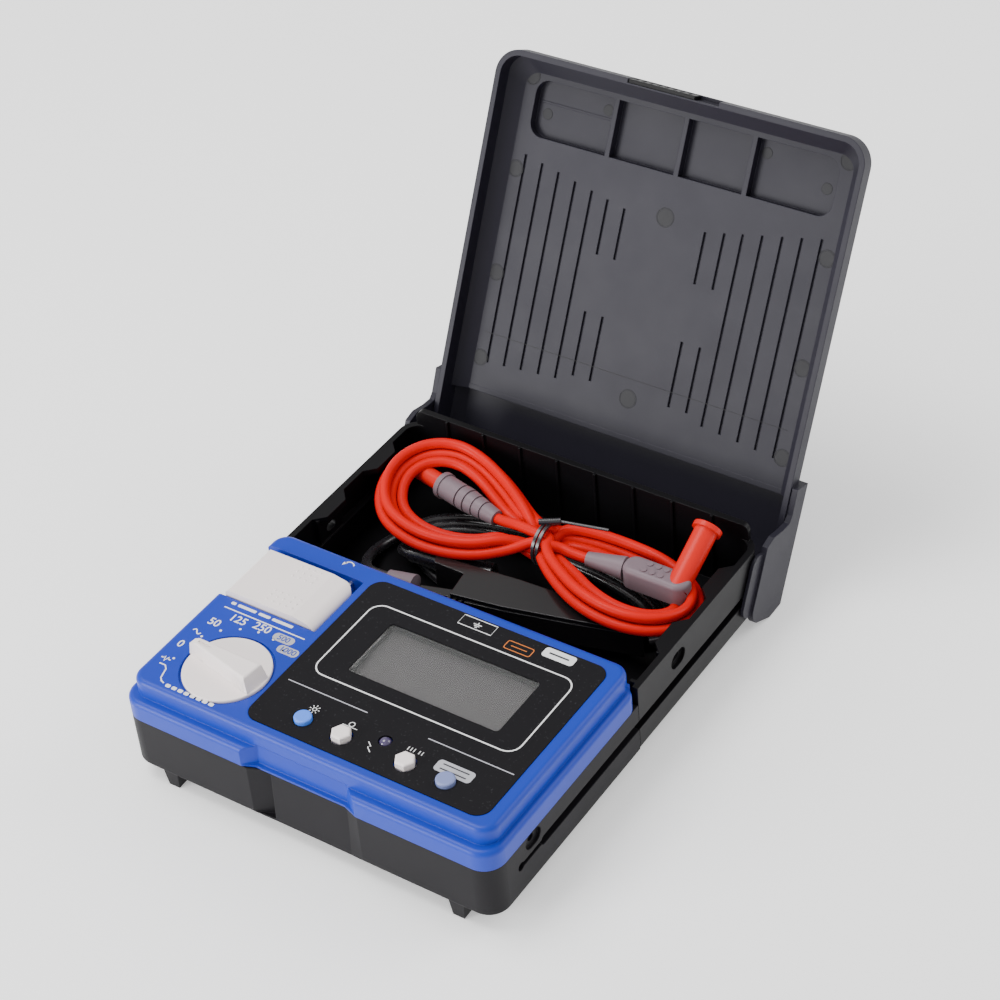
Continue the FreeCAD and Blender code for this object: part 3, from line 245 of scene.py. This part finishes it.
BLUE = (0.01, 0.036, 0.385)
case_plastic = plastic("case_plastic", (0.0062, 0.0055, 0.0072), 0.5, 1700.0, 0.05, 0.5, 2.5, 0.08, 0.16)
tray_plastic = plastic("tray_plastic", (0.0035, 0.0032, 0.004), 0.4, 2000.0, 0.02, 0.4, 3.0, 0.08, 0.14)
lid_plastic = plastic("lid_plastic", (0.0155, 0.0142, 0.0225), 0.46, 1900.0, 0.02, 0.45, 1.9, 0.02, 0.24)
bezel_plastic = plastic("bezel_plastic", BLUE, 0.36, 1900.0, 0.015, 0.6, 1.4, 0.04, 0.25)
knob_plastic = plastic("knob_plastic", (0.93, 0.85, 0.83), 0.42, 1900.0, 0.02, 0.5, 1.15, 0.02)
blue_button = plastic("blue_button", (0.075, 0.24, 0.95), 0.35, 2200.0, 0.01, 0.4, 1.3, 0.03)
pale_blue_button = plastic("pale_blue_button", (0.19, 0.23, 0.46), 0.35, 2200.0, 0.01, 0.4, 1.2, 0.03)
inner_plastic = plastic("inner_plastic", (0.02, 0.02, 0.022), 0.5)
clip_plastic = plastic("clip_plastic", (0.01, 0.0085, 0.009), 0.22, 1500.0, 0.015, 0.6, 3.5)
red_plastic = plastic("red_plastic", (0.63, 0.012, 0.007), 0.33, 1500.0, 0.02, 0.5, 1.3, 0.04, 0.18)
red_rubber = rubber("red_rubber", (0.64, 0.003, 0.002), 0.36, 0.0, 0.12)
black_rubber = rubber("black_rubber", (0.013, 0.011, 0.014), 0.26, 0.05, 0.75)
grey_rubber = rubber("grey_rubber", (0.17, 0.125, 0.145), 0.48, 0.05, 0.35)
silicone = rubber("silicone", (0.3, 0.3, 0.31), 0.5)
steel = metal("steel", (0.62, 0.63, 0.64), 0.3)
plated_brass = metal("plated_brass", (0.8, 0.7, 0.46), 0.25)
cell_sleeve = plastic("cell_sleeve", (0.06, 0.08, 0.13), 0.25, 800.0, 0.01)
ferrite = plastic("ferrite", (0.03, 0.03, 0.03), 0.7)
diffuser = plastic("diffuser", (0.7, 0.72, 0.7), 0.4)
fuse_glass = plastic("fuse_glass", (0.6, 0.62, 0.6), 0.1)
white_ink = print_ink("white_ink", (0.8, 0.8, 0.8))
pale_ink = print_ink("pale_ink", (0.42, 0.42, 0.46))
dark_ink = print_ink("dark_ink", (0.02, 0.02, 0.025))
blue_ink = print_ink("blue_ink", (0.012, 0.05, 0.36))
orange_ink = print_ink("orange_ink", (0.6, 0.16, 0.02))
lid_mark = plastic("lid_mark", (0.008, 0.0078, 0.0105), 0.5, 1900.0, 0.02, 0.45, 1.5, 0.02, 0.3)

NODE_FINISH = {
    case_plastic: ("lower_case", "battery_cover"),
    tray_plastic: ("accessory_tray", "lid_latch"),
    lid_plastic: ("lid_shell",),
    bezel_plastic: ("top_bezel",),
    knob_plastic: ("selector_knob", "measure_key", "zero_adjust_button", "comparator_button"),
    blue_button: ("light_button",),
    pale_blue_button: ("release_button",),
    panel_film(): ("front_panel",),
    window_clear(): ("lcd_window",),
    display_glass(): ("lcd_module",),
    led_lens(): ("warning_led",),
    board_green(): ("main_board",),
    inner_plastic: ("lcd_frame", "knob_shaft", "rotary_switch", "key_switch", "buzzer", "socket_block"),
    silicone: ("keypad_mat",),
    diffuser: ("backlight",),
    steel: ("key_pivot_pin", "key_spring", "case_screws", "board_screws", "cover_screw", "tray_screws",
            "clip_pin", "clip_spring"),
    plated_brass: ("fuse_clips", "battery_contacts", "earth_socket", "line_socket", "red_plug_pin",
                   "black_plug_pin"),
    ferrite: ("hv_transformer",),
    fuse_glass: ("fuse",),
    cell_sleeve: ("batteries",),
    clip_plastic: ("clip_front_jaw", "clip_rear_jaw"),
    grey_rubber: ("red_plug_body", "red_connector", "clip_collar"),
    red_plastic: ("red_plug_shroud", "red_connector_barrel"),
    black_rubber: ("black_plug_body", "twist_tie"),
}
for finish, names in NODE_FINISH.items():
    for name in names:
        nodes[name].data.materials.clear()
        nodes[name].data.materials.append(finish)


# ---- small modelling helpers ----
def add_mesh(name, bm, material, body, smooth=True):
    mesh = bpy.data.meshes.new(name)
    bm.to_mesh(mesh)
    bm.free()
    mesh.materials.append(material)
    if smooth:
        mesh.shade_smooth()
    obj = bpy.data.objects.new(name, mesh)
    bpy.context.scene.collection.objects.link(obj)
    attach(obj, body)
    return obj


def slab(bm, corners, up, thick_mm):
    """A thin plate from its corner points, raised along up."""
    lift = up.normalized() * thick_mm * MM
    low = [bm.verts.new(p) for p in corners]
    high = [bm.verts.new(p + lift) for p in corners]
    bm.faces.new(high)
    bm.faces.new(low[::-1])
    for i in range(len(low)):
        j = (i + 1) % len(low)
        bm.faces.new((low[i], low[j], high[j], high[i]))


def ribbon(bm, points, width, place, up, thick_mm=0.04, closed=False):
    """A printed or moulded line of one width along 2D points."""
    count = len(points)
    last = count if closed else count - 1
    sides = []
    for i in range(count):
        before = points[i - 1] if closed or i > 0 else points[i]
        after = points[(i + 1) % count] if closed or i < count - 1 else points[i]
        dx, dy = after[0] - before[0], after[1] - before[1]
        size = math.hypot(dx, dy)
        nx, ny = -dy / size * width / 2, dx / size * width / 2
        sides.append(((points[i][0] + nx, points[i][1] + ny), (points[i][0] - nx, points[i][1] - ny)))
    for i in range(last):
        a, b = sides[i], sides[(i + 1) % count]
        slab(bm, [place(*p) for p in (a[0], a[1], b[1], b[0])], up, thick_mm)


def round_rect(x0, x1, y0, y1, radius, steps=6):
    points = []
    for cx, cy, start in ((x1 - radius, y1 - radius, 0), (x0 + radius, y1 - radius, 90),
                          (x0 + radius, y0 + radius, 180), (x1 - radius, y0 + radius, 270)):
        for i in range(steps + 1):
            a = math.radians(start + 90 * i / steps)
            points.append((cx + radius * math.cos(a), cy + radius * math.sin(a)))
    return points


def circle(cx, cy, radius, steps=24, start=0.0, sweep=360.0):
    turns = [math.radians(start + sweep * i / steps) for i in range(steps + (sweep < 360))]
    return [(cx + radius * math.cos(a), cy + radius * math.sin(a)) for a in turns]


def printed(name, material, body, z, lines=(), fills=(), width=0.5):
    """Flat print on the top of the meter: lines are (points, closed), fills are outlines."""
    bm = bmesh.new()
    place = lambda x, y: deck(x, y, z)
    for points, closed in lines:
        ribbon(bm, points, width, place, Vector((0, 0, 1)), 0.04, closed)
    for points in fills:
        slab(bm, [place(*p) for p in points], Vector((0, 0, 1)), 0.04)
    return add_mesh(name, bm, material, body, smooth=False)


def numerals(name, text, x, y, z, size, material, turn=0.0):
    """A dial numeral as thin raised print."""
    curve = bpy.data.curves.new(name, "FONT")
    curve.body = text
    curve.size = size * MM
    curve.align_x = "CENTER"
    curve.align_y = "CENTER"
    curve.extrude = 0.02 * MM
    curve.offset = 0.012 * size * MM
    obj = bpy.data.objects.new(name, curve)
    bpy.context.scene.collection.objects.link(obj)
    obj.location = deck(x, y, z)
    obj.rotation_euler = (0, 0, math.radians(turn))
    curve.materials.append(material)
    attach(obj, "case")
    return obj


# ---- print on the bezel and the panel ----
DIAL_STEP = 19.4
DIAL_OFF = 173.3
DIAL_R = 20.6
PLATE_MARKS = {"500": (-41.6, -39.9), "1000": (-36.6, -44.2)}
RANGE_MARKS = {"50": (-68.6, -44.9), "125": (-61.8, -39.8), "250": (-51.8, -39.0)}


def dial_marks():
    """Range dots round the knob, numerals outside them, and a few plain marks."""
    dots = []
    for i in (0, 2, 3, 4, 5, 6, 7):
        a = math.radians(DIAL_OFF + DIAL_STEP - DIAL_STEP * i)
        dots.append(circle(KNOB[0] + DIAL_R * math.cos(a), KNOB[1] + DIAL_R * math.sin(a), 0.5, 12))
    printed("dial_dots", white_ink, "case", PLATEAU_Z, fills=dots)
    for text, (x, y) in RANGE_MARKS.items():
        numerals("dial_%s" % text, text, x, y, PLATEAU_Z, 4.8, white_ink)
    for text, (x, y) in PLATE_MARKS.items():
        printed("dial_plate_%s" % text, pale_ink, "case", PLATEAU_Z,
                fills=[round_rect(x - 4.4, x + 4.4, y - 1.9, y + 1.9, 1.7)])
        numerals("dial_%s" % text, text, x, y, PLATEAU_Z + PRINT_LAYER, 3.4, blue_ink)
    numerals("dial_0", "0", -72.2, -59.4, PLATEAU_Z, 4.6, white_ink)
    wave = [(-72.9 + 0.4 * i, -51.6 + 0.9 * math.sin(2 * math.pi * i / 9)) for i in range(10)]
    resistor = [(-74.0, -67.8), (-73.2, -67.8), (-72.8, -66.8), (-72.0, -69.0), (-71.2, -66.8),
                (-70.8, -67.8), (-70.0, -67.8)]
    bracket = [(-72.6, -70.6), (-71.6, -70.6), (-70.0, -70.6), (-68.6, -72.0), (-67.4, -76.2),
               (-66.2, -77.4), (-64.8, -77.9)]
    printed("dial_symbols", white_ink, "case", PLATEAU_Z,
            lines=[(wave, False), (resistor, False), (bracket, False)], width=0.5)
    beads = []
    for x in (-63.6, -60.9, -58.2, -55.5, -52.8, -50.1, -47.4, -44.7):
        beads.append(round_rect(x, x + 2.0, -79.0, -77.5, 0.5, 3))
    printed("dial_scale", white_ink, "case", PLATEAU_Z, fills=beads)
    printed("bezel_rule", white_ink, "case", PLATEAU_Z,
            lines=[([(-70.6, -36.5), (-35.0, -36.5)], False)], width=0.5)
    bars = []
    for x, w in ((-69.6, 2.0), (-66.6, 8.0), (-57.4, 5.0), (-51.4, 9.0)):
        bars.append(round_rect(x, x + w, -34.2, -32.9, 0.4, 3))
    printed("bezel_bars", white_ink, "case", PLATEAU_Z, fills=bars)
    turn = circle(-44.5, 2.6, 2.0, 10, 20, 140)
    head = [(-47.1, 3.6), (-45.4, 3.9), (-46.9, 1.9)]
    printed("hold_arrow", white_ink, "case", PLATEAU_Z, lines=[(turn, False)], fills=[head], width=0.45)


def sun_mark(x, y):
    """A small ring with eight rays, as (points, closed) lines."""
    rays = []
    for i in range(8):
        a = math.radians(45 * i)
        ends = [(x + r * math.cos(a), y + r * math.sin(a)) for r in (1.3, 2.0)]
        rays.append((ends, False))
    return rays + [(circle(x, y, 0.75, 12), True)]


def panel_print():
    """White outline round the display, button marks and socket marks."""
    outline = round_rect(-23.9, 59.6, -48.1, -8.7, 5.0)
    printed("display_outline", white_ink, "case", PANEL_Z, lines=[(outline, True)], width=0.55)
    rules = [([(-27.7, -55.5), (5.7, -55.5)], False), ([(30.6, -55.5), (64.6, -55.5)], False)]
    printed("front_rules", pale_ink, "case", PANEL_Z, lines=rules, width=0.4)
    zigzag = [(14.0, -66.4), (15.9, -67.9), (15.1, -68.6), (17.2, -70.3)]
    nought = circle(4.4, -62.6, 1.0, 14)
    bars = [([(27.4 + x, -63.2), (27.4 + x, -61.6)], False) for x in (0.0, 1.2, 2.4, 4.4, 5.6)]
    underline = [(1.4, -63.9), (7.4, -63.9)]
    marks = sun_mark(-11.0, -62.9) + [(zigzag, False), (nought, True), (underline, False)] + bars
    printed("button_marks", white_ink, "case", PANEL_Z, lines=marks, width=0.32)
    printed("release_plate", pale_ink, "case", PANEL_Z, fills=[round_rect(39.5, 54.0, -66.4, -61.2, 1.4)])
    printed("release_lines", dark_ink, "case", PANEL_Z + PRINT_LAYER,
            lines=[([(41.6, y), (51.9, y)], False) for y in (-64.9, -62.7)], width=0.5)
    earth = [([(14.1, -0.1), (14.1, -1.2)], False)]
    earth += [([(14.1 - w, y), (14.1 + w, y)], False) for w, y in ((1.7, -1.2), (1.1, -1.9), (0.5, -2.6))]
    box_lines = [([(7.2, -3.6), (21.0, -3.6), (21.0, 1.2), (7.2, 1.2)], True)]
    printed("earth_box", white_ink, "case", PANEL_Z, lines=earth + box_lines, width=0.35)
    printed("line_plate", white_ink, "case", PANEL_Z, fills=[round_rect(41.3, 53.8, -3.4, 1.2, 1.2)])
    printed("line_marks", dark_ink, "case", PANEL_Z + PRINT_LAYER,
            lines=[([(43.6, -1.1), (51.5, -1.1)], False)], width=0.7)
    printed("rating_box", orange_ink, "case", PANEL_Z,
            lines=[(round_rect(28.0, 38.5, -6.4, -2.4, 0.8), True), ([(30.0, -4.4), (36.5, -4.4)], False)],
            width=0.35)


def key_grip():
    """Rows of raised points on the lever key's top."""
    bm = bmesh.new()
    spots = [(x, y) for x in (-57.0, -54.2, -51.4, -48.6) for y in (-8.0, -10.8, -13.6)]
    spots += [(x, y) for x in (-57.8, -55.0, -52.2, -49.4, -46.6) for y in (-22.8, -25.4, -28.0)]
    for x, y in spots:
        top = 45.85 + 0.2 * (x + 72.8) / 28.3
        place = Matrix.Translation(deck(x, y, top)) @ Matrix.Diagonal((1, 1, 0.5, 1))
        bmesh.ops.create_uvsphere(bm, u_segments=12, v_segments=6, radius=0.55 * MM, matrix=place)
    add_mesh("key_grip_points", bm, knob_plastic, "key")


def lid_details():
    """Ejector marks and the faint mould line on the lid's inner face."""
    up = (on_lid(0, 100, LID_FACE + 1) - on_lid(0, 100, LID_FACE)).normalized()
    discs = [(0, 129.5, 3.6), (0, 59.1, 3.6)]
    discs += [(side * 66.5, s, 3.2) for side in (-1, 1) for s in (167.2, 131.6, 90.6, 56.3)]
    bm = bmesh.new()
    place = lambda x, s: on_lid(x, s, LID_FACE)
    for x, s, r in discs:
        ribbon(bm, circle(x, s, r, 28), 0.28, place, up, 0.05, True)
        slab(bm, [place(*p) for p in circle(x, s, r - 0.3, 28)], up, 0.02)
    for x, s in ((-59.2, 154.2), (-33.9, 161.6), (33.2, 161.8), (59.0, 155.1)):
        slab(bm, [on_lid(px, ps, LID_POCKET) for px, ps in circle(x, s, 2.2, 28)], up, 0.06)
    ribbon(bm, [(-66.5, 66.8), (66.5, 66.8)], 0.22, place, up, 0.04)
    add_mesh("lid_mould_marks", bm, lid_mark, "lid", smooth=False)


dial_marks()
panel_print()
key_grip()
lid_details()


# ---- leads ----
def cable(name, points, material, body="case"):
    """A round cable along a smooth curve."""
    curve = bpy.data.curves.new(name, "CURVE")
    curve.dimensions = "3D"
    curve.bevel_depth = CABLE_D / 2 * MM
    curve.bevel_resolution = 6
    curve.resolution_u = 8
    curve.use_fill_caps = True
    spline = curve.splines.new("NURBS")
    spline.points.add(len(points) - 1)
    for target, p in zip(spline.points, points):
        target.co = (*at(*p), 1.0)
    spline.order_u = 3
    spline.use_endpoint_u = True
    curve.materials.append(material)
    obj = bpy.data.objects.new(name, curve)
    bpy.context.scene.collection.objects.link(obj)
    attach(obj, body)
    return obj


# Centre line of the hank's loops, from the tie round and back to it, as (x, y, z).
LEFT_LOOP = [(-7, 48.5, 31), (-17, 41.5, 29.5), (-30, 38, 29), (-43, 38.5, 29), (-55, 43, 30), (-62, 52, 32),
             (-64, 63, 34), (-59, 73, 35.5), (-49, 78.2, 35.5), (-37, 77, 34), (-24, 71.5, 32), (-10, 63, 31)]
RIGHT_LOOP = [(11, 61, 31), (22, 64.5, 30), (35, 66, 28.5), (48, 65.8, 27.5), (60, 62, 26.5), (67, 53, 26.5),
              (66, 42, 29), (58, 34.5, 31), (46, 33, 31.6), (33, 36, 31.6), (21, 42.5, 31.2), (11, 49, 31)]
LOOP_OFFSETS = [(4.3, 0.0), (-0.2, 0.2), (-4.5, 0.0), (1.9, 3.9)]   # outward and up, one for each turn
RED_EXIT = (24.5, 53.6, 32.6)
BLACK_EXIT = (-41.2, 20.0, 22.0)
TIE_FRONT = [(-4.3, 3.7), (-4.3, 0.0), (-4.3, -3.7), (0.0, -3.7), (0.0, 3.7)]
TIE_REAR = [(4.3, 3.7), (4.3, 0.0), (4.3, -3.7), (0.0, 0.0)]


def shifted(loop, centre, offset):
    """One turn of a loop, moved outward from its centre and up."""
    out = []
    for x, y, z in loop:
        dx, dy = x - centre[0], (y - centre[1]) * 2.0
        size = math.hypot(dx, dy)
        out.append((x + dx / size * offset[0], y + dy / size * offset[0], z + offset[1]))
    return out


def red_route():
    """The red lead: from its plug into the tie, round the two loops in turn, and out to its connector."""
    route = [RED_EXIT, (19, 53.0, 32.8), (13, 53.4, 33.5)]
    for turn, offset in enumerate(LOOP_OFFSETS):
        dy, dz = TIE_FRONT[turn]
        route += [(TIE[0] + dx, TIE[1] + dy, TIE[2] + dz) for dx in (3, -2)]
        route += shifted(LEFT_LOOP, (-32, 58), offset)
        dy, dz = TIE_REAR[turn]
        route += [(TIE[0] + dx, TIE[1] + dy, TIE[2] + dz) for dx in (-3, 2)]
        route += shifted(RIGHT_LOOP, (38, 50), offset)
    dy, dz = TIE_FRONT[4]
    route += [(TIE[0] + dx, TIE[1] + dy, TIE[2] + dz) for dx in (3, -3)]
    route += [(-9, 56.5, 33.5), (-14, 57.5, 31.5), (-18, 58.4, 31.0)]
    return route


def black_route():
    """The black lead: from the clip to the left wall, round a flat spiral, and to its plug."""
    route = [BLACK_EXIT, (-47, 19.6, 21.6), (-53, 22, 20), (-57.5, 28, 17.5), (-60, 36, 15),
             (-59.5, 43, 13.8)]
    turns, per_turn = 4, 20
    for i in range(turns * per_turn + 1):
        share = i / per_turn
        a = math.radians(170) - 2 * math.pi * share
        inset = 4.15 * share
        route.append((4 + (60 - inset) * math.cos(a), 53 + (26 - inset) * math.sin(a), 13.8))
    route += [(-47.5, 45.5, 15.5), (-48.5, 39, 19), (-46.5, 36.2, 20.4), (-42.7, 36.2, 20.5)]
    return route


red_lead = cable("red_lead", red_route(), red_rubber)
black_lead = cable("black_lead", black_route(), black_rubber)
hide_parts("red_lead_hank")
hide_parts("black_lead_coil")


# ---- stage, light and camera ----
def stage_floor():
    mesh = bpy.data.meshes.new("stage_floor")
    half = 4.0
    corners = [(-half, -half, 0), (half, -half, 0), (half, half, 0), (-half, half, 0)]
    mesh.from_pydata(corners, [], [(0, 1, 2, 3)])
    paint = Paint("stage_paint")
    mesh.materials.append(paint.set(Base_Color=(0.97, 0.97, 0.97, 1.0), Roughness=0.8,
                                    Emission_Color=(1.0, 1.0, 1.0, 1.0), Emission_Strength=0.38))
    obj = bpy.data.objects.new("stage_floor", mesh)
    bpy.context.scene.collection.objects.link(obj)


def area_light(name, place, target, size, power):
    data = bpy.data.lights.new(name, "AREA")
    data.size = size
    data.energy = power
    obj = bpy.data.objects.new(name, data)
    obj.location = place
    obj.rotation_euler = (Vector(target) - Vector(place)).to_track_quat("-Z", "Y").to_euler()
    bpy.context.scene.collection.objects.link(obj)


def studio():
    world = bpy.data.worlds.new("studio")
    world.use_nodes = True
    world.node_tree.nodes["Background"].inputs[0].default_value = (1.0, 1.0, 1.0, 1.0)
    world.node_tree.nodes["Background"].inputs[1].default_value = 0.8
    bpy.context.scene.world = world
    area_light("key_light", (-0.6, -0.2, 1.5), (0, 0, 0), 0.9, 20)
    area_light("rear_light", (0.9, 0.9, 0.9), (0, 0, 0.05), 0.8, 8)
    area_light("lid_light", (-0.56, -1.0, 0.32), (0, 0.06, 0.09), 0.55, 12)


def camera():
    """The camera, with its roll and its small lens shift."""
    place = Vector((0.4189, -0.5222 - OPEN_CENTRE_Y * MM, 0.6385))
    target = Vector((-0.0238, 0.0599 - OPEN_CENTRE_Y * MM, 0.0337))
    azimuth, roll = math.radians(37.26), math.radians(-5.72)
    side = Vector((math.cos(azimuth), math.sin(azimuth), 0))
    ahead = (target - place).normalized()
    up = side.cross(ahead)
    right = math.cos(roll) * side + math.sin(roll) * up
    top = -math.sin(roll) * side + math.cos(roll) * up
    data = bpy.data.cameras.new("camera")
    data.lens = 92.24
    data.sensor_width = 36.0
    data.shift_x = 0.0145
    data.shift_y = 0.0055
    data.clip_start = 0.05
    obj = bpy.data.objects.new("camera", data)
    axes = Matrix((right, top, -ahead)).transposed().to_4x4()
    obj.matrix_world = Matrix.Translation(place) @ axes
    bpy.context.scene.collection.objects.link(obj)
    bpy.context.scene.camera = obj


stage_floor()
studio()
camera()
